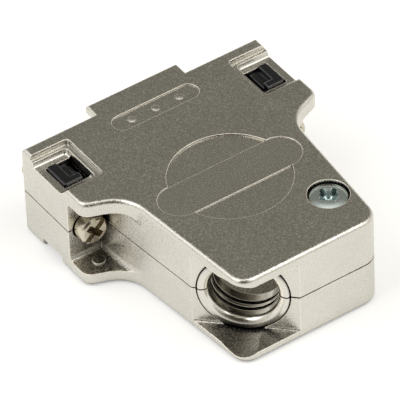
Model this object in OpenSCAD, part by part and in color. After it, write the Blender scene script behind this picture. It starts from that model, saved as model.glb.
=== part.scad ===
// Die-cast D-sub hood with a 45 degree cable outlet.
// +Y is the mating direction, +Z is up, and the origin is the middle of the base.
// A depth is measured back from the mating face; y_at() turns it into a y position.

/* [Hood] */
// Width across the two screw blocks
hood_w = 39.3; // [35:0.1:60]
// Depth from the mating face to the back wall
hood_d = 40.7; // [38:0.1:50]
// Height of the closed hood
hood_h = 15; // [14.6:0.1:18]
// Thickness of the top and bottom plates
plate_t = 1.5; // [1.3:0.1:1.8]
// Thickness of the side and back walls
wall_t = 1.5; // [1.2:0.1:1.8]
// Rounding of the outer edges of the top plate
edge_r = 0.73; // [0.4:0.01:0.8]
// Rounding of the outer edges of the bottom plate
base_r = 0.8; // [0.3:0.01:0.8]
// Rounding of the upright corners beside the mating face
front_r = 0.2; // [0.1:0.05:1.3]

/* [Body] */
// Distance from the outside of a screw block to the body beside it
neck_in = 5.25; // [4.8:0.05:5.5]
// Width of the body at the back wall
back_w = 23; // [21:0.1:26]
// Rounding of the corner over the cable outlet
outlet_corner_r = 2.4; // [1.5:0.1:3]
// Rounding of the plain back corner
back_corner_r = 3; // [2.6:0.1:4]

/* [Screw blocks] */
// Distance from the outside of the hood to a jackscrew's axis
screw_in = 3; // [2.95:0.05:3.05]
// Depth of the screw blocks
block_d = 11; // [10.5:0.1:11.8]
// Depth at the outer corner of the overhanging ears
ear_d = 14.8; // [14.2:0.1:15.3]
// Depth at which the ears run out into the body
waist_d = 17.1; // [16.4:0.1:18.2]
// Rounding of the outer corner of an ear
ear_r = 1.8; // [1:0.1:2.2]
// Radius of the hollow where an ear runs into the body
waist_r = 5; // [2.5:0.1:5.4]
// Thickness of the ears over the jackscrew heads
ear_t = 2.2; // [1.6:0.1:2.4]

/* [Mating face] */
// Width of the hood on each side of the mouth that takes the connector
mouth_in = 7.05; // [6.8:0.05:7.3]
// Width of the locating tabs ahead of the mouth
tab_w = 15.3; // [10:0.1:20]
// Reach of the locating tabs ahead of the mating face
tab_out = 2.2; // [1:0.1:3]
// Thickness of the locating tabs
tab_t = 1.2; // [0.8:0.1:1.3]

/* [Recesses and windows] */
// Width of a recess, from the outside of the hood
recess_w = 6.2; // [6.05:0.05:6.45]
// Width of the rim ahead of a recess
recess_front = 2.05; // [1.7:0.05:2.3]
// Depth at which a recess ends
recess_back = 10.9; // [10.1:0.1:11.3]
// Depth of a recess below the plate
recess_t = 1.5; // [1.2:0.05:1.6]
// Width of the step inside a recess
step_w = 0.75; // [0.3:0.05:0.8]
// Drop from the plate to the step
step_t = 0.72; // [0.4:0.02:0.9]
// Thickness of the web between a recess and the retainer chamber
web_t = 1.1; // [0.8:0.05:1.3]
// Width of a window, across the hood
window_w = 4.3; // [4.1:0.05:4.4]
// Length of a window, along the hood
window_l = 4.9; // [4.6:0.05:5.1]
// Depth at which a window starts
window_front = 4.1; // [3.8:0.05:4.3]
// Width of the wall outside a window
rim_w = 1.1; // [1:0.05:1.3]

/* [Retainers] */
// Width of the part of a retainer that stands in the window
cap_w = 2.95; // [2.8:0.05:3.05]
// Width of the raised rib on a retainer
rib_w = 1.5; // [1.1:0.05:1.7]
// Height of the rib above the floor of its recess
rib_up = 0.5; // [0.2:0.05:0.9]
// Drop from the rib to the shelf beside it
shelf_drop = 1; // [0.6:0.05:1.2]
// Width of the retainer inside the chamber
retainer_w = 3.7; // [3.55:0.05:3.8]
// Running gap round a retainer
slide_gap = 0.12; // [0.08:0.01:0.15]

/* [Jackscrews] */
// Diameter of the threaded end
thread_dia = 2.84; // [2.6:0.02:2.88]
// Reach of the threaded end ahead of the mating face
thread_out = 3.6; // [3:0.1:5]
// Length of the undercut behind the thread
relief_l = 0.5; // [0.3:0.1:0.8]
// Diameter of the plain shank
shank_dia = 2.9; // [2.88:0.02:3]
// Diameter of the neck that the retainer grips
neck_dia = 1.6; // [1.4:0.05:1.7]
// Diameter of the head
head_dia = 4.3; // [4:0.1:5]
// Length of the head
head_l = 2.95; // [2:0.05:3.2]
// Radial gap round the head in its seat
head_gap = 0.2; // [0.1:0.05:0.3]
// Radial gap between a shank and its bore
bore_gap = 0.05; // [0.03:0.01:0.08]

/* [Cable outlet] */
// Distance of the outlet's centre from the corner's side, at the back wall
outlet_side = 4; // [3.8:0.1:4.4]
// Distance of the outlet's centre from the back wall
outlet_back = 5.5; // [5.2:0.1:5.8]
// Bore for the largest cable
cable_dia = 9.5; // [7:0.1:9.8]
// Outside diameter of the cable ferrule
ferrule_dia = 12.8; // [12.2:0.1:12.8]
// Length of the cable ferrule
ferrule_l = 5.2; // [4.8:0.1:5.6]
// Depth of the ring groove round the ferrule
groove_t = 0.55; // [0.3:0.05:0.6]
// Gap between the ferrule and its seat
seat_gap = 0.14; // [0.1:0.01:0.18]

/* [Case screw] */
// Distance of the case screw from the outside of its wall
case_screw_in = 3.75; // [3.6:0.05:4.5]
// Distance of the case screw from the back wall
case_screw_back = 7.9; // [6.5:0.1:14]
// Diameter of its head
case_head_dia = 5.3; // [4.6:0.1:5.5]
// Thread diameter
case_thread_dia = 2.9; // [2.5:0.1:3]

/* [Marks on the top] */
// Diameter of the round mark
disc_dia = 17.4; // [12:0.1:18]
// Depth of the round mark's centre
disc_d = 21.8; // [20.8:0.1:22.8]
// Distance from the ends of the bar across the round mark to the sides of the body
bar_in = 1.95; // [1.5:0.05:4]
// Width of the bar across the round mark
bar_w = 6.3; // [4:0.1:7]
// Length of the pill-shaped mark at the front
pill_l = 14; // [12:0.1:16]
// Width of the pill-shaped mark
pill_w = 3.2; // [2.6:0.1:3.4]
// Depth of the pill-shaped mark's centre
pill_d = 3.9; // [3.5:0.1:4.3]
// Distance between the three raised dots
dot_pitch = 3.95; // [3:0.05:4.5]

/* [Hidden] */

$fn = 64;
over = 1;                 // how far a cut runs past a face
seam = 0.12;              // rebate along both edges of the parting line
blend = 1;                // hollow rounding at the foot of the walls behind the screw blocks
foot = 0.45;              // hollow rounding at the foot of the cable face
lead = 0.25;              // rounding of the recess edges
corner_steps = 9;         // straight pieces in a rounded upright corner
edge_steps = 6;           // straight pieces across a rounded plate edge

mid = hood_d / 2;
split = hood_h / 2;
half_w = hood_w / 2;
neck_w = hood_w - 2 * neck_in;
mouth_w = hood_w - 2 * mouth_in;
recess_gap = hood_w - 2 * recess_w;
taper = (neck_w - back_w) / 2 / (hood_d - block_d);
screw_x = half_w - screw_in;

// Screw blocks, from the outside in
window_out = half_w - rim_w;
window_in = window_out - window_w;
window_back = window_front + window_l;
travel = 1.1;                                   // how far a retainer slides inward
retainer_out = window_out - slide_gap;
retainer_in = retainer_out - retainer_w;
chamber_in = retainer_in - travel - 0.1;
web_z = recess_t + web_t;
bore_r = shank_dia / 2 + bore_gap;
head_front = block_d - 0.95;                    // where the head bears on the block
head_seat_r = head_dia / 2 + head_gap;

// Cable outlet, with t measured inward from the slanted face
outlet_x = back_w / 2 - outlet_side;
outlet_d = hood_d - outlet_back;
face_sum = outlet_d + outlet_x;                 // depth less x, anywhere on that face
seat_r = ferrule_dia / 2 + seat_gap;
collar_l = 2;
rib_l = 1.1;
rib_r = ferrule_dia / 2 - groove_t + 0.1;
cavity_t = collar_l + rib_l;

// Case screw
case_screw_d = hood_d - case_screw_back;
case_x = neck_w / 2 - taper * (case_screw_d - block_d) - case_screw_in;
case_head_t = 1.75;
case_boss_r = case_screw_in - 0.15;
case_tip = plate_t + 1.1;

// Joint between the two halves
tongue_w = 0.6;
tongue_h = 0.8;
tongue_gap = 0.08;

function y_at(depth) = mid - depth;
function at(x, depth) = [x, y_at(depth)];
function body_half(depth) = neck_w / 2 - taper * (depth - block_d);
function unit(v) = v / norm(v);
function left_of(u) = [-u.y, u.x];

// Points of a rounded corner at v, between a and b, moved inward by inset; a corner that the
// inset would turn inside out keeps a tiny rounding instead
function round_corner(a, v, b, r, inset, n) =
  let (u = unit(v - a), w = unit(b - v), side = sign(u.x * w.y - u.y * w.x))
  let (rc = max(r, side * inset + 0.05), rr = rc - side * inset)
  let (c = v + side * rc * (left_of(u) + left_of(w)) / (1 + u * w))
  let (start = atan2(-side * left_of(u).y, -side * left_of(u).x), sweep = side * acos(u * w))
  [for (k = [0:n]) c + rr * [cos(start + sweep * k / n), sin(start + sweep * k / n)]];

// A closed outline, anticlockwise, from corners given as [point, radius]
function outline(corners, inset, n) =
  let (m = len(corners))
  [for (i = [0:m - 1])
    for (p = round_corner(corners[(i + m - 1) % m][0], corners[i][0], corners[(i + 1) % m][0],
                          corners[i][1], inset, n)) p];

// A solid through a list of rings, each given as [z, outline]
module loft(rings) {
  n = len(rings[0][1]);
  m = len(rings);
  points = [for (ring = rings) for (p = ring[1]) [p.x, p.y, ring[0]]];
  sides = [for (i = [0:m - 2]) for (j = [0:n - 1])
    [i * n + j, (i + 1) * n + j, (i + 1) * n + (j + 1) % n, i * n + (j + 1) % n]];
  bottom = [for (j = [0:n - 1]) j];
  top = [for (j = [0:n - 1]) m * n - 1 - j];
  polyhedron(points = points, faces = concat(sides, [bottom, top]), convexity = 8);
}

module slab(points, z0, z1) {
  translate([0, 0, z0]) linear_extrude(z1 - z0) polygon(points);
}

// A box given by its x range, depth range and z range
module block(x0, x1, d0, d1, z0, z1) {
  translate([x0, y_at(d1), z0]) cube([x1 - x0, d1 - d0, z1 - z0]);
}

// A round bar along the mating direction, between two depths
module bar(x, d0, d1, r) {
  translate([x, y_at(d1), split]) rotate([-90, 0, 0]) cylinder(h = d1 - d0, r = r);
}

module both_sides() {
  children();
  mirror([1, 0, 0]) children();
}

// Local frame of the cable outlet: +Y runs inward along its axis
module at_outlet() {
  translate([-outlet_x, y_at(outlet_d), split]) rotate([0, 0, -45]) children();
}

module along_outlet(t0, t1, r) {
  translate([0, t0, 0]) rotate([-90, 0, 0]) cylinder(h = t1 - t0, r = r);
}

/* Each half is modelled with its plate down: z = 0 is the outer face of the plate and
   z = split is the parting plane. The upper half is then turned over. */

hood_corners = [
  [at(half_w, 0), front_r],
  [at(-half_w, 0), front_r],
  [at(-half_w, ear_d), ear_r],
  [at(-body_half(waist_d), waist_d), waist_r],
  [at(-back_w / 2, hood_d), outlet_corner_r],
  [at(back_w / 2, hood_d), back_corner_r],
  [at(body_half(waist_d), waist_d), waist_r],
  [at(half_w, ear_d), ear_r]];

// Rings of a solid whose lower edge is rounded by r; it starts below z = 0, to be trimmed there
function edge_rings(corners, r) = concat(
  [[-over, outline(corners, r, corner_steps)]],
  [for (k = [edge_steps:-1:0])
    let (a = 90 * k / edge_steps)
    [r * (1 - sin(a)), outline(corners, r * (1 - cos(a)), corner_steps)]]);

// Keeps what lies between the plate's outer face and a height
module trim(top) {
  intersection() {
    children();
    block(-hood_w, hood_w, -hood_d, 2 * hood_d, 0, top);
  }
}

module hood_blank(r) {
  trim(split) loft(concat(edge_rings(hood_corners, r), [
    [split - seam, outline(hood_corners, 0, corner_steps)],
    [split - seam, outline(hood_corners, seam, corner_steps)],
    [split + over, outline(hood_corners, seam, corner_steps)]]));
}

// Plan of the room inside the hood, grown sideways into its walls
module cavity_plan(grow) {
  front = mouth_w / 2 + grow;
  back = back_w / 2 - wall_t + grow;
  end = hood_d - wall_t + grow;
  slope = (front - back) / (end - block_d);
  sum = face_sum + sqrt(2) * (grow - cavity_t);
  left = (slope * (sum - block_d) - front) / (1 - slope);
  r = 1.2 + grow;
  polygon(outline([
    [at(front, -over), 0.01],
    [at(-front, -over), 0.01],
    [at(-front, block_d), 0.01],
    [at(left, sum + left), r],
    [at(end - sum, end), r],
    [at(back, end), r],
    [at(front, block_d), 0.01]], 0, 4));
}

// Band that follows the inside of the walls behind the screw blocks, clear of the outlet
module wall_band(inner, outer) {
  difference() {
    cavity_plan(outer);
    cavity_plan(inner);
    translate(at(-half_w, block_d + 1.5)) square([hood_w, hood_d]);
    translate(at(-outlet_x, outlet_d)) rotate(-45) square(2 * seat_r + 1.5, center = true);
  }
}

// Open space behind a screw block, between the two ears, with a blended floor and the
// rebate of the parting line
module ear_gap() {
  end = waist_d + waist_r * 0.63;
  function plan(in) = [
    at(body_half(block_d) + in, block_d + in),
    at(body_half(end) + 0.01 + in, end),
    at(half_w + over, end),
    at(half_w + over, block_d + in)];
  both_sides() {
    loft(concat(
      [for (k = [0:4]) let (a = 90 * k / 4)
        [ear_t + blend * (1 - cos(a)), plan(blend * (1 - sin(a)))]],
      [[split + over, plan(0)]]));
    slab(plan(-seam), split - seam, split + over);
  }
}

// Foot of the slanted cable face, blended into the corner of the plate
module cable_face() {
  at_outlet() rotate([90, 0, 90]) translate([0, -split, -20]) linear_extrude(40) difference() {
    translate([-20, plate_t]) square([20, split]);
    translate([-foot, plate_t]) difference() {
      square([foot + over, foot]);
      translate([0, foot]) circle(r = foot);
    }
  }
  at_outlet() translate([-20, -over, -seam]) cube([40, over + seam, over + seam]);
}

// Stepped recess round a window, open to the side of the hood; its back wall leans
module recess() {
  lean = 0.6;
  function plan(inset, z) = outline([
    [at(half_w + 3, recess_back - lean * z), 1],
    [at(half_w + 3, recess_front), 1],
    [at(recess_gap / 2, recess_front), 0.5],
    [at(recess_gap / 2, recess_back - lean * z), 0.5]], inset, 4);
  function low_plan(inset, z) = outline([
    [at(half_w + 3, recess_back - lean * z - 0.2), 1],
    [at(half_w + 3, recess_front + step_w), 1],
    [at(recess_gap / 2 + step_w, recess_front + step_w), 0.7],
    [at(recess_gap / 2 + step_w, recess_back - lean * z - 0.2), 0.7]], inset, 4);
  drop = recess_t - step_t;
  loft([
    [-over, plan(-lead, 0)],
    [0, plan(-lead, 0)],
    [lead * 0.3, plan(-lead * 0.3, lead * 0.3)],
    [lead, plan(0, lead)],
    [step_t, plan(0, step_t)]]);
  loft([
    [step_t - 0.3, low_plan(-0.15, step_t)],
    [step_t, low_plan(-0.15, step_t)],
    [step_t + 0.05, low_plan(-0.05, step_t)],
    [step_t + 0.15, low_plan(0, step_t + 0.15)],
    [step_t + drop * 0.5, low_plan(0.08, step_t + drop * 0.5)],
    [step_t + drop * 0.8, low_plan(0.22, step_t + drop * 0.8)],
    [recess_t - drop * 0.05, low_plan(0.38, recess_t)],
    [recess_t, low_plan(0.6, recess_t)]]);
}

// Side notch under a window, on the underside
module notch() {
  block(window_in, half_w + over, window_front, window_back, -over, recess_t);
}

// Room for a retainer, its window, and the bore and seat of its jackscrew
module screw_block() {
  block(chamber_in, window_out, window_front, window_back, web_z, split + over);
  block(window_in, window_out, window_front, window_back, -over, web_z + over);
  bar(screw_x, -over, window_front + 0.5, bore_r);
  bar(screw_x, window_back - 0.5, block_d + over, bore_r);
  bar(screw_x, head_front, block_d + over, head_seat_r);
}

// Seat of the cable ferrule, running out through the corners of the plates
module ferrule_seat() {
  at_outlet() {
    along_outlet(-12, collar_l, seat_r);
    along_outlet(collar_l - 0.1, cavity_t + 0.1, rib_r);
    along_outlet(cavity_t, ferrule_l - 0.1, seat_r);
  }
}

// Locating tab ahead of the mouth, level with the plate
module tab() {
  root = edge_r + 1.1;
  corners = [
    [at(tab_w / 2, root), 1],
    [at(tab_w / 2, -tab_out), front_r],
    [at(-tab_w / 2, -tab_out), front_r],
    [at(-tab_w / 2, root), 1]];
  trim(tab_t) loft(concat(edge_rings(corners, 0.6), [[tab_t + over, outline(corners, 0, corner_steps)]]));
}

module pill(length, width, depth) {
  slab_r = width / 2;
  translate([0, 0, -over]) linear_extrude(depth + over) {
    square([length - width, width], center = true);
    for (s = [-1, 1]) translate([s * (length - width) / 2, 0]) circle(r = slab_r);
  }
}

// Round mark with a bar across it, and the pill with its three raised dots
module top_marks() {
  dot_h = 0.18;
  dot_r = 0.7;
  ball_r = (dot_r * dot_r + dot_h * dot_h) / (2 * dot_h);
  bar_l = 2 * (body_half(disc_d) - bar_in);
  translate([0, y_at(disc_d), 0]) difference() {
    union() {
      translate([0, 0, -over]) cylinder(h = over + 0.25, r = disc_dia / 2);
      pill(bar_l, bar_w, 0.1);
    }
    translate([0, 0, over + 0.1]) pill(bar_l - 0.02, bar_w - 0.02, 0.2);
  }
  translate([0, y_at(pill_d), 0]) difference() {
    pill(pill_l, pill_w, 0.18);
    for (s = [-1:1]) translate([s * dot_pitch, 0, ball_r]) sphere(r = ball_r);
  }
}

// What both halves share
module hood_half(r) {
  difference() {
    hood_blank(r);
    translate([0, 0, plate_t]) linear_extrude(split) cavity_plan(0);
    ear_gap();
    cable_face();
  }
  tab();
}

module lower_shell() {
  color("#b9b4a6") difference() {
    union() {
      hood_half(base_r);
      translate([0, 0, split - 1]) linear_extrude(1 + tongue_h) wall_band(0, tongue_w);
      translate([case_x, y_at(case_screw_d), 1]) cylinder(h = split - 1, r = case_boss_r - 0.6);
      both_sides() translate([screw_x - 0.25, y_at(block_d + 2.2), 1])
        cylinder(h = ear_t - 1 + 0.15, r = 0.95);
    }
    both_sides() {
      screw_block();
      notch();
    }
    ferrule_seat();
    translate([case_x, y_at(case_screw_d), case_tip - 0.4])
      cylinder(h = hood_h, r = case_thread_dia / 2 + 0.05);
  }
}

module upper_shell() {
  color("#c4bfb2") translate([0, 0, hood_h]) mirror([0, 0, 1]) difference() {
    union() {
      hood_half(edge_r);
      translate([case_x, y_at(case_screw_d), 1]) {
        cylinder(h = case_head_t + 0.3, r = case_boss_r);
        cylinder(h = split - 1, r = case_boss_r - 0.6);
      }
    }
    both_sides() {
      screw_block();
      recess();
    }
    ferrule_seat();
    top_marks();
    translate([0, 0, split - tongue_h - 0.1]) linear_extrude(tongue_h + over)
      wall_band(-tongue_gap, tongue_w + tongue_gap);
    translate([case_x, y_at(case_screw_d), 0]) {
      translate([0, 0, -over]) cylinder(h = over + case_head_t + 0.05, r = case_head_dia / 2 + 0.3);
      cylinder(h = hood_h, r = case_thread_dia / 2 + 0.15);
    }
  }
}

// One half of the cable ferrule, below the parting plane
module ferrule_half(end_r) {
  throat = cable_dia / 2;
  outer = ferrule_dia / 2;
  bead = 1.1;
  difference() {
    rotate([-90, 0, 0]) rotate_extrude(angle = 180) difference() {
      translate([throat, -0.3]) square([outer - throat, ferrule_l]);
      translate([outer - 0.4, -0.3]) difference() {
        translate([0, -over]) square([over, over + 0.4]);
        translate([0, 0.4]) circle(r = 0.4);
      }
      translate([throat + bead, bead - 0.3]) difference() {
        translate([-bead - over, -bead - over]) square(bead + over);
        circle(r = bead);
      }
      translate([outer - groove_t, collar_l]) square([over, rib_l + 0.05]);
      translate([throat - over, bead + 0.5]) square([over + 0.35, 0.7]);
      translate([throat - over, bead + 1.7]) square([over + 0.35, 0.7]);
    }
    translate([-20, -over, -0.05]) cube([40, ferrule_l + 2, over]);
    for (s = [-1, 1]) rotate([90, 0, 0]) translate([0, 0, -ferrule_l - 1]) linear_extrude(ferrule_l + 2)
      difference() {
        translate([s > 0 ? outer - end_r : -outer - over, -0.05 - end_r]) square([end_r + over, end_r + over]);
        translate([s * (outer - end_r), -0.05 - end_r]) circle(r = end_r);
      }
  }
}

module ferrule_lower() {
  color("#cfcabd") at_outlet() ferrule_half(0.2);
}

module ferrule_upper() {
  color("#d6d1c4") at_outlet() mirror([0, 0, 1]) ferrule_half(0.5);
}

// Slotted and cross-recessed jackscrew, on the right-hand side, turned from one profile of
// [radius, distance ahead of the mating face]
module jackscrew() {
  head_end = head_front + 0.05 + head_l;
  neck_front = window_front - 0.1;
  neck_back = window_back + 0.2;
  thread_r = thread_dia / 2;
  shank_r = shank_dia / 2;
  head_r = head_dia / 2;
  difference() {
    translate([screw_x, y_at(0), split]) rotate([-90, 0, 0]) rotate_extrude() polygon([
      [0, thread_out],
      [thread_r - 0.4, thread_out],
      [thread_r, thread_out - 0.4],
      [thread_r, relief_l],
      [thread_r - 0.35, relief_l],
      [thread_r - 0.35, 0],
      [shank_r, 0],
      [shank_r, -neck_front],
      [neck_dia / 2, -neck_front],
      [neck_dia / 2, -neck_back],
      [shank_r, -neck_back],
      [shank_r, -head_front - 0.05],
      [head_r, -head_front - 0.05],
      [head_r, 0.3 - head_end],
      [head_r - 0.3, -head_end],
      [0, -head_end]]);
    translate([screw_x, y_at(head_end), split]) rotate([0, 45, 0]) {
      translate([-head_dia, -over, -0.45]) cube([2 * head_dia, over + 0.9, 0.9]);
      translate([-0.5, -over, -1.45]) cube([1, over + 1.4, 2.9]);
    }
  }
}

module jackscrew_right() {
  color("#a9a597") jackscrew();
}

module jackscrew_left() {
  color("#a9a597") mirror([1, 0, 0]) jackscrew();
}

// Sliding retainer, on the right-hand side: a keyhole plate with a finger cap in the window
module retainer() {
  front = window_front + slide_gap;
  back = window_back - slide_gap;
  cap_in = retainer_out - cap_w;
  cap_top = hood_h - recess_t + rib_up;
  soft = 0.5;
  difference() {
    union() {
      block(retainer_in, retainer_out, front, back, web_z + slide_gap, hood_h - web_z - slide_gap);
      block(cap_in, retainer_out, front, back, recess_t + 0.1, web_z + 1);
      intersection() {
        block(cap_in, retainer_out, front, back, hood_h - web_z - 1, cap_top);
        translate([0, y_at(back), 0]) rotate([90, 0, 0]) translate([0, 0, -back]) linear_extrude(back + 1)
          polygon([[cap_in - 1, split], [retainer_out, split], [retainer_out, cap_top - soft],
                   [retainer_out - soft * 0.3, cap_top - soft * 0.3], [retainer_out - soft, cap_top],
                   [cap_in - 1, cap_top]]);
        translate([cap_in - 1, 0, 0]) rotate([90, 0, 90]) linear_extrude(cap_w + 2)
          polygon([[y_at(front), split], [y_at(front), cap_top - 0.2], [y_at(front) - 0.2, cap_top],
                   [y_at(back) + soft, cap_top], [y_at(back) + soft * 0.3, cap_top - soft * 0.3],
                   [y_at(back), cap_top - soft], [y_at(back), split]]);
        translate([0, 0, split]) linear_extrude(hood_h) polygon(outline([
          [at(cap_in, back), 0.1], [at(retainer_out, back), 0.7],
          [at(retainer_out, front), 0.5], [at(cap_in, front), 0.1]], 0, 6));
      }
    }
    block(cap_in - 1, retainer_out - rib_w, front - 1, back - 1.1, cap_top - shelf_drop, cap_top + 1);
    block(screw_x - neck_dia / 2 - 0.25, half_w, front - 1, back + 1, split - neck_dia / 2 - 0.25,
          split + neck_dia / 2 + 0.25);
    bar(screw_x + travel, front - 1, back + 1, shank_dia / 2 + 0.2);
  }
}

module retainer_right() {
  color("#202022") retainer();
}

module retainer_left() {
  color("#202022") mirror([1, 0, 0]) retainer();
}

module case_screw() {
  seat = hood_h - case_head_t - 0.05;
  head_r = case_head_dia / 2;
  drive_r = case_head_dia * 0.29;
  color("#c9ccd0") translate([case_x, y_at(case_screw_d), 0]) difference() {
    union() {
      translate([0, 0, case_tip + 0.4]) cylinder(h = seat - case_tip, r = case_thread_dia / 2);
      translate([0, 0, case_tip]) cylinder(h = 0.4, r1 = case_thread_dia / 2 - 0.4, r2 = case_thread_dia / 2);
      intersection() {
        translate([0, 0, seat]) cylinder(h = case_head_t + 0.2, r = head_r);
        translate([0, 0, seat + case_head_t + 0.15 - head_r * 2.4]) sphere(r = head_r * 2.4);
      }
    }
    for (s = [13, 103]) rotate(s) {
      translate([-drive_r, -0.4, seat + 0.75]) cube([2 * drive_r, 0.8, case_head_t + 1]);
    }
    translate([0, 0, seat + 0.35]) cylinder(h = 1.6, r1 = 0.6, r2 = drive_r - 0.2);
  }
}

upper_shell();
lower_shell();
ferrule_upper();
ferrule_lower();
jackscrew_left();
jackscrew_right();
retainer_left();
retainer_right();
case_screw();
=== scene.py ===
# %% [markdown]
# # A die-cast D-sub hood
#
# The hood is the metal case that closes behind a D-sub connector. Two zinc castings, plated
# with nickel, meet at a line half way up. A split ferrule clamps the cable at a slanted
# corner, two jackscrews hold the hood to the socket, and a black slider beside each of them
# keeps it in. Here the measured solids come in as a fixed frame, and each gets a surface
# that looks like the metal or plastic it is made of.

import math

import bmesh
import bpy
from mathutils import Matrix, Vector


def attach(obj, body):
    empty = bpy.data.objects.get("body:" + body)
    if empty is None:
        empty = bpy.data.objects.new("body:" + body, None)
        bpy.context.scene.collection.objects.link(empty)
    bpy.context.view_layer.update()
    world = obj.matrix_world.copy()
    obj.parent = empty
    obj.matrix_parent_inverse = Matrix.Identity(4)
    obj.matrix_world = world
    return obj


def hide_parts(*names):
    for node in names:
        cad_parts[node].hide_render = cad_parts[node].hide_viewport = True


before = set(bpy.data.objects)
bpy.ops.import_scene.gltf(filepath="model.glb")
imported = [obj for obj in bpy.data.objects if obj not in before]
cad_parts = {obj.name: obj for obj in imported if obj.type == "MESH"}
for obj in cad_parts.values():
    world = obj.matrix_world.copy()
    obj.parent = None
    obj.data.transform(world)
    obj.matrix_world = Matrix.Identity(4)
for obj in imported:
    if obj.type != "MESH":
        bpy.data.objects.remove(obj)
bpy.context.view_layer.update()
MM = 0.001

# %% [markdown]
# ## Helpers for materials
#
# Colours are written as the hex values that a screen shows. Blender's shaders work with
# linear light, so one function turns the hex value into linear numbers; without it every
# colour would come out too pale. The nodes of a material could be added line by line, which
# hides the finish behind the wiring. One function adds a node, gives it its settings and
# links its inputs instead, so that a finish reads as a short list.


# %% Colour helper
def linear(hex_colour):
    """A screen colour such as "#c8c4b8" as linear red, green, blue and alpha."""
    out = []
    for i in (1, 3, 5):
        c = int(hex_colour[i:i + 2], 16) / 255
        out.append(c / 12.92 if c <= 0.04045 else ((c + 0.055) / 1.055) ** 2.4)
    return (*out, 1.0)


print("a grey of #808080 is", round(linear("#808080")[0], 3), "in linear light")


# %% Node helper
def add_node(tree, kind, settings=None, inputs=None):
    """Adds a node. settings are its own properties. inputs, by name or number, are values, or
    sockets to link."""
    node = tree.nodes.new("ShaderNode" + kind)
    for name, value in (settings or {}).items():
        setattr(node, name, value)
    for name, value in (inputs or {}).items():
        if isinstance(value, bpy.types.NodeSocket):
            tree.links.new(value, node.inputs[name])
        else:
            node.inputs[name].default_value = value
    return node


def new_material(name):
    """A material with no nodes in it yet."""
    material = bpy.data.materials.new(name)
    material.use_nodes = True
    material.node_tree.nodes.clear()
    return material, material.node_tree


print("materials before the first finish:", len(bpy.data.materials))

# %% [markdown]
# ## Painted edge highlights
#
# Proud edges catch the light as thin bright lines, and that highlight is painted in here as a
# lighter colour, while the inner corners are left alone. The edges could be modelled as narrow
# strips of their own, but a shader finds them by itself: a bevel node gives the normal as if the
# edge were rounded, and where that differs from the true one, an edge is near. Ambient occlusion
# then says whether the edge stands out in the open or lies in a groove.


# %% Edge mask for painted highlights
def rounded_edge_highlight(tree, radius_mm, starts, full, open_sky, shut, open_):
    """A rounded normal, and a mask for painted highlights that is 1 on proud edges and 0 on
    faces and in grooves. starts and full are how well the two normals agree where the mask
    begins and is whole. shut and open_ are the shares of open sky where an edge is in a groove
    and stands proud."""
    rounded = add_node(tree, "Bevel", {"samples": 8}, {"Radius": radius_mm * MM})
    true = add_node(tree, "NewGeometry")
    agreement = add_node(tree, "VectorMath", {"operation": "DOT_PRODUCT"}, {
        0: rounded.outputs["Normal"], 1: true.outputs["Normal"]})
    bent = add_node(tree, "MapRange", inputs={
        "Value": agreement.outputs["Value"], "From Min": starts, "From Max": full})
    proud = add_node(tree, "MapRange", inputs={
        "Value": open_sky, "From Min": shut, "From Max": open_})
    mask = add_node(tree, "Math", {"operation": "MULTIPLY"}, {
        0: bent.outputs["Result"], 1: proud.outputs["Result"]})
    return rounded.outputs["Normal"], mask.outputs["Value"]


# Where the rounded normal turns by more than these angles, a casting's edge gets a painted
# highlight.
EDGE_STARTS, EDGE_FULL = 0.995, 0.92
print("a casting's edge is rubbed where the rounded normal turns by",
      [round(math.degrees(math.acos(v)), 1) for v in (EDGE_STARTS, EDGE_FULL)], "degrees")

# %% [markdown]
# ## Nickel plate on a zinc casting
#
# A die casting comes out of its steel mould with a faint orange peel. It is tumbled, so its
# edges are a little rounded, and then plated with nickel, a metal with a warm, yellowish
# grey of its own. It could be one plain metal with a roughness, but then the flat faces would
# look like brushed sheet. The plate keeps every grain of the casting, so flat faces glitter
# softly instead of mirroring the room. Shade is painted in: brown-black in pockets that see
# little open sky, near-black in narrow grooves, and a painted highlight on proud edges. That
# gives the eye three things to see: a fine grain in the roughness and the bump, slow clouds in
# the colour, and painted shade in the hollows. The real grain is near a tenth of a millimetre
# and wouldn't show, so it is drawn two to three times as coarse. The line where the halves
# meet gathers grime, so a ragged dark line follows it at its height.


# %% Nickel finish
JOINT_Z_MM = 7.5


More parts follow.
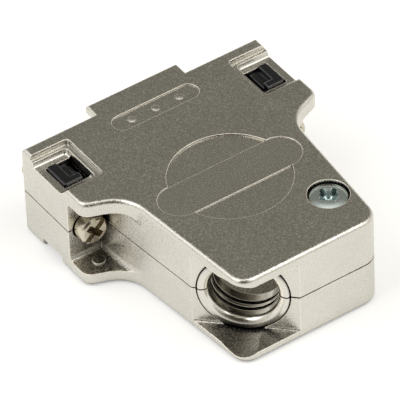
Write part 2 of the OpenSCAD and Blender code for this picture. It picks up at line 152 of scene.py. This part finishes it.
def nickel_plate(name, bright, dull, painted_shade, reach_mm, shut, open_, roughness, glitter,
                 grain_mm, bump_mm):
    """Nickel on cast zinc. bright and dull are the clouds' colours, and the colour after them is
    painted shade, laid deep in a pocket. Within reach_mm, a spot that sees less than shut of the
    open sky gets the painted shade in full, and one that sees more than open_ isn't darkened at
    all. glitter is how far the grain takes the roughness up and down."""
    cloud_mm, near_mm, edge_mm, grain_share = 6, 0.25, 0.18, 0.7
    grime_mm, clean_mm, ragged_mm = 0.14, 0.2, 0.12
    # The groove colour is painted shade in narrow grooves, and the edge colour a painted highlight
    # on proud edges.
    worn_roughness, grime, painted_groove_shade, painted_edge_highlight = 0.6, "#15120e", "#0d0b08", "#fff8ec"
    material, tree = new_material(name)
    place = add_node(tree, "TexCoord").outputs["Object"]
    clouds = add_node(tree, "TexNoise", inputs={
        "Vector": place, "Scale": 1 / (cloud_mm * MM), "Detail": 4.0, "Roughness": 0.6})
    grain = add_node(tree, "TexNoise", inputs={
        "Vector": place, "Scale": 1 / (grain_mm * MM), "Detail": 2.0, "Roughness": 0.65})
    slow = add_node(tree, "Math", {"operation": "MULTIPLY"}, {
        0: clouds.outputs["Fac"], 1: 1 - grain_share})
    mottle = add_node(tree, "Math", {"operation": "MULTIPLY_ADD"}, {
        0: grain.outputs["Fac"], 1: grain_share, 2: slow.outputs["Value"]})
    metal = add_node(tree, "ValToRGB", inputs={"Fac": mottle.outputs["Value"]})
    for stop, at, colour in zip(metal.color_ramp.elements, (0.35, 0.65), (dull, bright)):
        stop.position, stop.color = at, linear(colour)

    # Painted shade: where ambient occlusion within reach_mm finds little open sky, the metal turns
    # to the shade colour.
    far_sky = add_node(tree, "AmbientOcclusion", {"samples": 10}, {"Distance": reach_mm * MM})
    depth = add_node(tree, "MapRange", inputs={
        "Value": far_sky.outputs["AO"], "From Min": shut, "From Max": open_})
    shaded = add_node(tree, "Mix", {"data_type": "RGBA"}, {
        "Factor": depth.outputs["Result"], "A": linear(painted_shade), "B": metal.outputs["Color"]})
    # Painted shade in narrow grooves and creases: where ambient occlusion within near_mm sees little
    # open sky, the colour turns near-black.
    near_sky = add_node(tree, "AmbientOcclusion", {"samples": 16}, {"Distance": near_mm * MM})
    groove = add_node(tree, "MapRange", inputs={
        "Value": near_sky.outputs["AO"], "From Min": 0.42, "From Max": 0.73})
    groove_shaded = add_node(tree, "Mix", {"data_type": "RGBA"}, {
        "Factor": groove.outputs["Result"], "A": linear(painted_groove_shade), "B": shaded.outputs["Result"]})
    # Painted highlight: on proud edges the colour turns near-white, and the roughness rises.
    normal, edge_highlight_mask = rounded_edge_highlight(tree, edge_mm, starts=EDGE_STARTS, full=EDGE_FULL,
                               open_sky=near_sky.outputs["AO"], shut=0.6, open_=0.85)
    painted_light = add_node(tree, "Mix", {"data_type": "RGBA"}, {
        "Factor": edge_highlight_mask, "A": groove_shaded.outputs["Result"], "B": linear(painted_edge_highlight)})

    spot = add_node(tree, "SeparateXYZ", inputs={"Vector": place})
    above_joint = add_node(tree, "Math", {"operation": "SUBTRACT"}, {
        0: spot.outputs["Z"], 1: JOINT_Z_MM * MM})
    away = add_node(tree, "Math", {"operation": "ABSOLUTE"}, {0: above_joint.outputs["Value"]})
    ragged = add_node(tree, "Math", {"operation": "MULTIPLY_ADD"}, {
        0: clouds.outputs["Fac"], 1: ragged_mm * MM, 2: away.outputs["Value"]})
    clean = add_node(tree, "MapRange", inputs={
        "Value": ragged.outputs["Value"], "From Min": grime_mm * MM, "From Max": clean_mm * MM})
    finish = add_node(tree, "Mix", {"data_type": "RGBA"}, {
        "Factor": clean.outputs["Result"], "A": linear(grime), "B": painted_light.outputs["Result"]})

    rough = add_node(tree, "MapRange", inputs={
        "Value": grain.outputs["Fac"], "From Min": 0.3, "From Max": 0.7,
        "To Min": roughness - glitter, "To Max": roughness + glitter})
    scuffed = add_node(tree, "Mix", inputs={
        "Factor": edge_highlight_mask, "A": rough.outputs["Result"], "B": worn_roughness})
    bump = add_node(tree, "Bump", inputs={
        "Distance": bump_mm * MM, "Height": grain.outputs["Fac"], "Normal": normal})
    shader = add_node(tree, "BsdfPrincipled", inputs={
        "Base Color": finish.outputs["Result"], "Metallic": 1.0,
        "Roughness": scuffed.outputs["Result"], "Normal": bump.outputs["Normal"]})
    add_node(tree, "OutputMaterial", inputs={"Surface": shader.outputs["BSDF"]})
    print(name, "has", len(tree.nodes), "nodes")
    return material


# Each finish takes a painted shade colour for its pockets; the ferrule's bore gets a near-black one.
cast_nickel = nickel_plate(
    "nickel plated zinc casting", bright="#dad7cf", dull="#cac7be", painted_shade="#3a2f20",
    reach_mm=4.5, shut=0.12, open_=0.6, roughness=0.27, glitter=0.18, grain_mm=0.21, bump_mm=0.034)
ferrule_nickel = nickel_plate(
    "nickel plated ferrule", bright="#dbd8d0", dull="#d3cfc6", painted_shade="#130e08",
    reach_mm=3.5, shut=0.55, open_=0.97, roughness=0.19, glitter=0.08, grain_mm=0.4, bump_mm=0.003)

# %% [markdown]
# ## Turned screws
#
# The jackscrews are turned steel with nickel plate, a little yellower and much smoother than
# the castings. The case screw is zinc plated and passivated clear, which looks bluish. The
# tool leaves fine lines round a screw. They could be cut as real grooves, but they are far
# too small to see one by one, so a fine noise in the roughness stands in for them and only
# breaks up the reflections. It is drawn coarser than the real lines, so that it shows.


# %% Turned metal
def turned_metal(name, colour, painted_shade, roughness, line_mm):
    """Plated steel from a lathe, with shade painted inside the slots of the drive."""
    slot_mm, edge_mm, line_depth_mm = 0.9, 0.06, 0.002
    smoother, rougher = 0.05, 0.08
    material, tree = new_material(name)
    place = add_node(tree, "TexCoord").outputs["Object"]
    lines = add_node(tree, "TexNoise", inputs={
        "Vector": place, "Scale": 1 / (line_mm * MM), "Detail": 1.0})
    rough = add_node(tree, "MapRange", inputs={
        "Value": lines.outputs["Fac"],
        "To Min": roughness - smoother, "To Max": roughness + rougher})
    # Painted shade: where ambient occlusion within slot_mm finds little open sky, the colour turns
    # to the slot shade.
    sky = add_node(tree, "AmbientOcclusion", {"samples": 8}, {"Distance": slot_mm * MM})
    shaded = add_node(tree, "Mix", {"data_type": "RGBA"}, {
        "Factor": sky.outputs["AO"], "A": linear(painted_shade), "B": linear(colour)})
    rounded = add_node(tree, "Bevel", {"samples": 6}, {"Radius": edge_mm * MM})
    bump = add_node(tree, "Bump", inputs={
        "Distance": line_depth_mm * MM, "Height": lines.outputs["Fac"],
        "Normal": rounded.outputs["Normal"]})
    shader = add_node(tree, "BsdfPrincipled", inputs={
        "Base Color": shaded.outputs["Result"], "Metallic": 1.0,
        "Roughness": rough.outputs["Result"], "Normal": bump.outputs["Normal"]})
    add_node(tree, "OutputMaterial", inputs={"Surface": shader.outputs["BSDF"]})
    print(name, "has", len(tree.nodes), "nodes")
    return material


jackscrew_metal = turned_metal(
    "nickel plated jackscrew steel", colour="#cdc5b4", painted_shade="#93856a", roughness=0.2, line_mm=0.3)
case_screw_metal = turned_metal(
    "zinc plated case screw steel", colour="#dbe6e6", painted_shade="#93a39f", roughness=0.16, line_mm=0.3)

# %% [markdown]
# ## Moulded nylon
#
# The sliders are moulded in black nylon, a plastic with a soft gloss and a barely seen
# grain. A plain black would lose the shape of so small a piece, so the same edge mask as for
# the castings paints a grey highlight on its proud edges, and the finger cap can be read.


# %% Nylon
def moulded_nylon(name, colour, clouded, painted_edge_grey, grain_mm):
    """Black nylon from a lightly grained mould, with a grey highlight painted on its proud edges."""
    edge_mm, near_mm, grain_depth_mm = 0.3, 0.5, 0.004
    material, tree = new_material(name)
    place = add_node(tree, "TexCoord").outputs["Object"]
    grain = add_node(tree, "TexNoise", inputs={
        "Vector": place, "Scale": 1 / (grain_mm * MM), "Detail": 3.0})
    mixed = add_node(tree, "Mix", {"data_type": "RGBA"}, {
        "Factor": grain.outputs["Fac"], "A": linear(colour), "B": linear(clouded)})
    sky = add_node(tree, "AmbientOcclusion", {"samples": 8}, {"Distance": near_mm * MM})
    # Painted highlight: the edge mask turns proud edges grey.
    normal, edge_highlight_mask = rounded_edge_highlight(tree, edge_mm, starts=0.99, full=0.8,
                               open_sky=sky.outputs["AO"], shut=0.5, open_=0.8)
    edges_painted_grey = add_node(tree, "Mix", {"data_type": "RGBA"}, {
        "Factor": edge_highlight_mask, "A": mixed.outputs["Result"], "B": linear(painted_edge_grey)})
    bump = add_node(tree, "Bump", inputs={
        "Distance": grain_depth_mm * MM, "Height": grain.outputs["Fac"], "Normal": normal})
    shader = add_node(tree, "BsdfPrincipled", inputs={
        "Base Color": edges_painted_grey.outputs["Result"], "Roughness": 0.17, "IOR": 1.53,
        "Normal": bump.outputs["Normal"]})
    add_node(tree, "OutputMaterial", inputs={"Surface": shader.outputs["BSDF"]})
    print(name, "has", len(tree.nodes), "nodes")
    return material


black_nylon = moulded_nylon(
    "black moulded nylon", colour="#121315", clouded="#18191c", painted_edge_grey="#5d6067", grain_mm=0.25)

# %% [markdown]
# ## Smooth castings from measured solids
#
# The solids arrive as triangles whose corners aren't joined from face to face, so their
# rounded edges would show facets. A finer mesh would hide them at the cost of a heavy file.
# A dressed copy of each joins the corners again instead and shades smoothly wherever the
# surface turns gently. A weighted-normal modifier then lets the large flat faces win over
# the narrow rounded ones, which is what keeps a cast plate flat right up to its rounded rim.


# %% Dressed copy of one solid
MERGE_MM, NYLON_EDGE_MM = 0.0015, 0.08


def dressed_copy(node, name, material, soften_mm=0, smooth_below_deg=32):
    """A smooth-shaded stand-in for a CAD node, in the same place and of the same size."""
    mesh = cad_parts[node].data.copy()
    mesh.name = name
    mesh.materials.clear()
    mesh.materials.append(material)
    bm = bmesh.new()
    bm.from_mesh(mesh)
    bmesh.ops.remove_doubles(bm, verts=bm.verts, dist=MERGE_MM * MM)
    for face in bm.faces:
        face.smooth = True
    for edge in bm.edges:
        edge.smooth = edge.calc_face_angle(math.pi) < math.radians(smooth_below_deg)
    bm.to_mesh(mesh)
    bm.free()
    if "custom_normal" in mesh.attributes:
        mesh.attributes.remove(mesh.attributes["custom_normal"])
    piece = bpy.data.objects.new(name, mesh)
    bpy.context.scene.collection.objects.link(piece)
    if soften_mm:
        bevel = piece.modifiers.new("softened edges", "BEVEL")
        bevel.width = soften_mm * MM
        bevel.segments = 3
        bevel.limit_method = "ANGLE"
        bevel.angle_limit = math.radians(40)
    weighted = piece.modifiers.new("flat faces win", "WEIGHTED_NORMAL")
    weighted.keep_sharp = True
    weighted.weight = 80
    return piece


# %% All the solids
pieces = {}
for node, name, material, body, slot in [
        ("upper_shell", "upper_casting", cast_nickel, "hood", "nickel"),
        ("lower_shell", "lower_casting", cast_nickel, "hood", "nickel"),
        ("ferrule_upper", "upper_ferrule", ferrule_nickel, "hood", "nickel"),
        ("ferrule_lower", "lower_ferrule", ferrule_nickel, "hood", "nickel"),
        ("case_screw", "case_screw_turned", case_screw_metal, "hood", "screw_steel"),
        ("jackscrew_left", "left_jackscrew", jackscrew_metal, "screw_left", "screw_steel"),
        ("jackscrew_right", "right_jackscrew", jackscrew_metal, "screw_right", "screw_steel"),
        ("retainer_left", "left_slider", black_nylon, "slider_left", "black_plastic"),
        ("retainer_right", "right_slider", black_nylon, "slider_right", "black_plastic")]:
    piece = dressed_copy(node, name, material, NYLON_EDGE_MM if material == black_nylon else 0)
    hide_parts(node)
    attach(piece, body)
    pieces[node] = piece
    print(name, len(piece.data.polygons), "faces")

# %% [markdown]
# ## Three dots
#
# In the pill-shaped mark stand three low dots, which the mould maker sank into the mould with
# a ball cutter. Their foot turns by less than the angle that keeps an edge sharp, so smooth
# shading would smear each dot over the floor round it. A smaller angle for the whole casting
# would show facets on its fillets, so only the circle at the foot of each dot is made crisp.

# %% Crisp foot of each dot
DOT_PITCH, DOT_Y, DOT_RADIUS, NEAR = 3.95, 16.45, 0.7, 0.02
casting = pieces["upper_shell"].data
crisp = 0
for edge in casting.edges:
    ends = [casting.vertices[i].co / MM for i in edge.vertices]
    for dot_x in (-DOT_PITCH, 0, DOT_PITCH):
        if all(abs(math.hypot(p.x - dot_x, p.y - DOT_Y) - DOT_RADIUS) < NEAR for p in ends):
            edge.use_edge_sharp = True
            crisp += 1
print("crisp edges round the dots:", crisp)

# %% [markdown]
# ## Threads
#
# The solids carry the screw threads as plain pins of the outer diameter, which is what fits
# and motion need. A picture of a thread on the pin would have a smooth outline. Here each
# pin shrinks to the root of the thread and gets a ridge that winds round it, so that the
# screw looks like one and stays the same size. A 4-40 screw has forty turns to the inch, a
# pitch of 0.635 mm. The ridge has four corners in profile: two feet sunk a little into the
# pin and a flat crest. It rises from nothing and sinks again over a quarter turn.


# %% Pin and ridge of a thread
def shrink_pin(pin, axis_x, axis_z, root, start_y):
    """Brings what lies beyond start_y along Y down to the root radius, in mm."""
    moved = 0
    for vertex in pin.data.vertices:
        x, z = vertex.co.x / MM - axis_x, vertex.co.z / MM - axis_z
        reach = math.hypot(x, z)
        if vertex.co.y / MM > start_y and reach > root:
            vertex.co.x = (axis_x + x * root / reach) * MM
            vertex.co.z = (axis_z + z * root / reach) * MM
            moved += 1
    print(pin.name, "has", moved, "corners on the root of its thread")


def wind_ridge(name, material, axis_x, axis_z, root, crest, start_y, end_y, pitch):
    """A ridge wound round an axis along Y, in mm."""
    steps, fade_steps, sunk = 36, 9, 0.05
    foot, half_foot, half_crest = root - sunk, 0.46, 0.08  # the halves are shares of the pitch
    profile = [(-half_foot, foot), (-half_crest, crest), (half_crest, crest), (half_foot, foot)]
    total = int((end_y - start_y - pitch) / pitch * steps)
    points = []
    for i in range(total + 1):
        angle = 2 * math.pi * i / steps
        fade = min(1, i / fade_steps, (total - i) / fade_steps)
        y = start_y + pitch / 2 + pitch * i / steps
        for along, radius in profile:
            r = foot + (radius - foot) * fade
            points.append(((axis_x + r * math.cos(angle)) * MM, (y + along * pitch) * MM,
                           (axis_z + r * math.sin(angle)) * MM))
    faces = [(3, 2, 1, 0), tuple(4 * total + k for k in range(4))]
    for i in range(total):
        for k in range(4):
            n = (k + 1) % 4
            faces.append((4 * i + k, 4 * i + n, 4 * i + 4 + n, 4 * i + 4 + k))
    mesh = bpy.data.meshes.new(name)
    mesh.from_pydata(points, [], faces)
    bm = bmesh.new()
    bm.from_mesh(mesh)
    bmesh.ops.recalc_face_normals(bm, faces=bm.faces)
    for face in bm.faces:
        face.smooth = True
    for edge in bm.edges:
        edge.smooth = edge.calc_face_angle(math.pi) < math.radians(32)
    bm.to_mesh(mesh)
    bm.free()
    mesh.materials.append(material)
    ridge = bpy.data.objects.new(name, mesh)
    bpy.context.scene.collection.objects.link(ridge)
    return ridge


# %% Threads on both jackscrews
PITCH, ROOT, CREST = 0.635, 1.14, 1.415
HALF_SPACING, AXIS_Z = 16.65, 7.5
THREAD_START, THREAD_END = 20.95, 23.6
for side, axis_x in (("left", -HALF_SPACING), ("right", HALF_SPACING)):
    shrink_pin(pieces["jackscrew_" + side], axis_x, AXIS_Z, ROOT, THREAD_START)
    ridge = wind_ridge(side + "_thread", jackscrew_metal, axis_x, AXIS_Z, ROOT, CREST,
                       THREAD_START, THREAD_END, PITCH)
    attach(ridge, "screw_" + side)
    print(ridge.name, len(ridge.data.polygons), "faces")

# %% [markdown]
# ## A pale floor
#
# Under the hood lies a sheet of white paper. The metal mirrors it, so it does more than catch
# the shadow: it is what makes the walls of the castings bright. It could be lit up to white
# by strong lamps, which would burn out the metal with it. A little light of its own does
# that gently, for the camera and for mirrored rays, and leaves the soft shadow where it is.

# %% Floor
FLOOR_GLOW, FLOOR_SIZE, FLOOR_GAP_MM = 0.45, 6.0, 0.02
bpy.ops.mesh.primitive_plane_add(size=FLOOR_SIZE, location=(0, 0, -FLOOR_GAP_MM * MM))
floor = bpy.context.object
floor.name = "floor"
paper, tree = new_material("white paper sweep")
rays = add_node(tree, "LightPath")
mirrored = add_node(tree, "Math", {"operation": "MAXIMUM"}, {
    0: rays.outputs["Is Glossy Ray"], 1: rays.outputs["Is Transmission Ray"]})
seen = add_node(tree, "Math", {"operation": "ADD"}, {
    0: rays.outputs["Is Camera Ray"], 1: mirrored.outputs["Value"]})
glow_strength = add_node(tree, "Math", {"operation": "MULTIPLY"}, {
    0: seen.outputs["Value"], 1: FLOOR_GLOW})
lit = add_node(tree, "BsdfDiffuse", inputs={"Color": linear("#dededc")})
glow = add_node(tree, "Emission", inputs={
    "Color": linear("#ffffff"), "Strength": glow_strength.outputs["Value"]})
both = add_node(tree, "AddShader", inputs={0: lit.outputs["BSDF"], 1: glow.outputs["Emission"]})
add_node(tree, "OutputMaterial", inputs={"Surface": both.outputs["Shader"]})
floor.data.materials.append(paper)
print("floor:", [round(v) for v in floor.dimensions], "m, with a glow of", FLOOR_GLOW)

# %% [markdown]
# ## The light tent
#
# Metal shows what is round it, so the room matters more than the lamps. A plain white world
# would make every face the same pale grey. This one is a white tent, brightest overhead and
# on the left behind the hood, with three darker patches: a grey card on the right behind it,
# the dark of the room behind the camera, and a dim horizon below that. The flat plates
# mirror the card and turn a deep grey, the walls mirror the white floor, and a rounded edge
# sweeps from one to the other within a millimetre. A pocket with three square sides throws
# every ray back the way it came, so it mirrors the room behind the camera.


# %% World
def sky_patch(tree, sky, direction, centre, outside_deg, inside_deg, colour):
    """Lays a soft round patch over the sky: whole within inside_deg of the direction of its
    centre, gone beyond outside_deg."""
    towards = add_node(tree, "VectorMath", {"operation": "DOT_PRODUCT"}, {
        0: direction, 1: Vector(centre).normalized()})
    within = add_node(tree, "MapRange", {"interpolation_type": "SMOOTHSTEP"}, {
        "Value": towards.outputs["Value"], "From Min": math.cos(math.radians(outside_deg)),
        "From Max": math.cos(math.radians(inside_deg))})
    patched = add_node(tree, "Mix", {"data_type": "RGBA"}, {
        "Factor": within.outputs["Result"], "A": sky, "B": colour})
    return patched.outputs["Result"]


world = bpy.data.worlds.new("light tent")
bpy.context.scene.world = world
world.use_nodes = True
tree = world.node_tree
tree.nodes.clear()
direction = add_node(tree, "TexCoord").outputs["Generated"]
sky = linear("#eeebe3")
for centre, outside_deg, inside_deg, colour in [
        ((0, 0, 1), 85, 62, linear("#f2f0ea")),  # the tent's roof
        ((-0.54, -0.84, 0.1), 52, 25, linear("#aeaba2")),  # the dim horizon behind the camera
        ((0, 0, 1), 58, 38, (1.65, 1.61, 1.53, 1.0)),  # the light overhead
        ((-0.52, 0.48, 0.71), 26, 10, (1.5, 1.5, 1.53, 1.0)),  # the light on the left, behind
        ((0.42, 0.60, 0.70), 50, 27, linear("#828078")),  # the card on the right, behind
        ((-0.42, -0.60, 0.68), 38, 20, linear("#4c473d"))]:  # the room behind the camera
    sky = sky_patch(tree, sky, direction, centre, outside_deg, inside_deg, colour)
rays = add_node(tree, "LightPath")
shown = add_node(tree, "Mix", {"data_type": "RGBA"}, {
    "Factor": rays.outputs["Is Camera Ray"], "A": sky, "B": linear("#ffffff")})
background = add_node(tree, "Background", inputs={"Color": shown.outputs["Result"]})
add_node(tree, "OutputWorld", inputs={"Surface": background.outputs["Background"]})
print("light tent:", len(tree.nodes), "nodes")

# %% [markdown]
# ## Two softboxes
#
# Sun or a spot would draw hard spots on the metal. Two square area lamps, large beside a part
# of four centimetres, give soft highlights along its edges and a shadow with no clear border.


# %% Lamps
def softbox(name, azimuth, elevation, distance, size, watts):
    """A square area lamp that faces the hood. At azimuth 0 it stands on the cable side, at -Y."""
    a, e = math.radians(azimuth), math.radians(elevation)
    away = Vector((math.sin(a) * math.cos(e), -math.cos(a) * math.cos(e), math.sin(e)))
    data = bpy.data.lights.new(name, "AREA")
    data.size = size
    data.energy = watts
    lamp = bpy.data.objects.new(name, data)
    lamp.location = away * distance
    lamp.rotation_mode = "QUATERNION"
    lamp.rotation_quaternion = away.to_track_quat("Z", "Y")
    bpy.context.scene.collection.objects.link(lamp)
    print(name, "stands at", [round(v, 2) for v in lamp.location], "m")
    return lamp


softbox("softbox_left", azimuth=-95, elevation=50, distance=0.6, size=0.3, watts=0.5)
softbox("softbox_right", azimuth=40, elevation=55, distance=0.6, size=0.24, watts=0.35)

# %% [markdown]
# ## The camera
#
# A product like this is photographed with a long lens from well back, which keeps its edges
# nearly parallel; a short lens from close by would swell the near corner. The camera stands
# on the cable side, to the left and above, and is tilted by a few degrees about its own
# axis. Its three axes are worked out from those angles, so that each can be changed by itself.

# %% Camera
azimuth, elevation, roll = math.radians(-33.094), math.radians(41.765), math.radians(-2.545)
distance = 772.03 * MM
target = Vector((-1.487, 4.020, 7.478)) * MM
back = Vector((math.sin(azimuth) * math.cos(elevation),
               -math.cos(azimuth) * math.cos(elevation), math.sin(elevation)))
right = Vector((math.cos(azimuth), math.sin(azimuth), 0))
up = back.cross(right)
tilted_right = right * math.cos(roll) + up * math.sin(roll)
tilted_up = up * math.cos(roll) - right * math.sin(roll)
camera = bpy.data.objects.new("camera", bpy.data.cameras.new("camera"))
camera.data.lens = 506.74
camera.data.sensor_width = 36
camera.data.clip_start, camera.data.clip_end = 0.01, 20
camera.rotation_mode = "QUATERNION"
camera.rotation_quaternion = Matrix((tilted_right, tilted_up, back)).transposed().to_quaternion()
camera.location = target + back * distance
bpy.context.scene.collection.objects.link(camera)
bpy.context.scene.camera = camera
bpy.context.scene.view_settings.view_transform = "Standard"
print("camera stands at", [round(v, 3) for v in camera.location], "m")
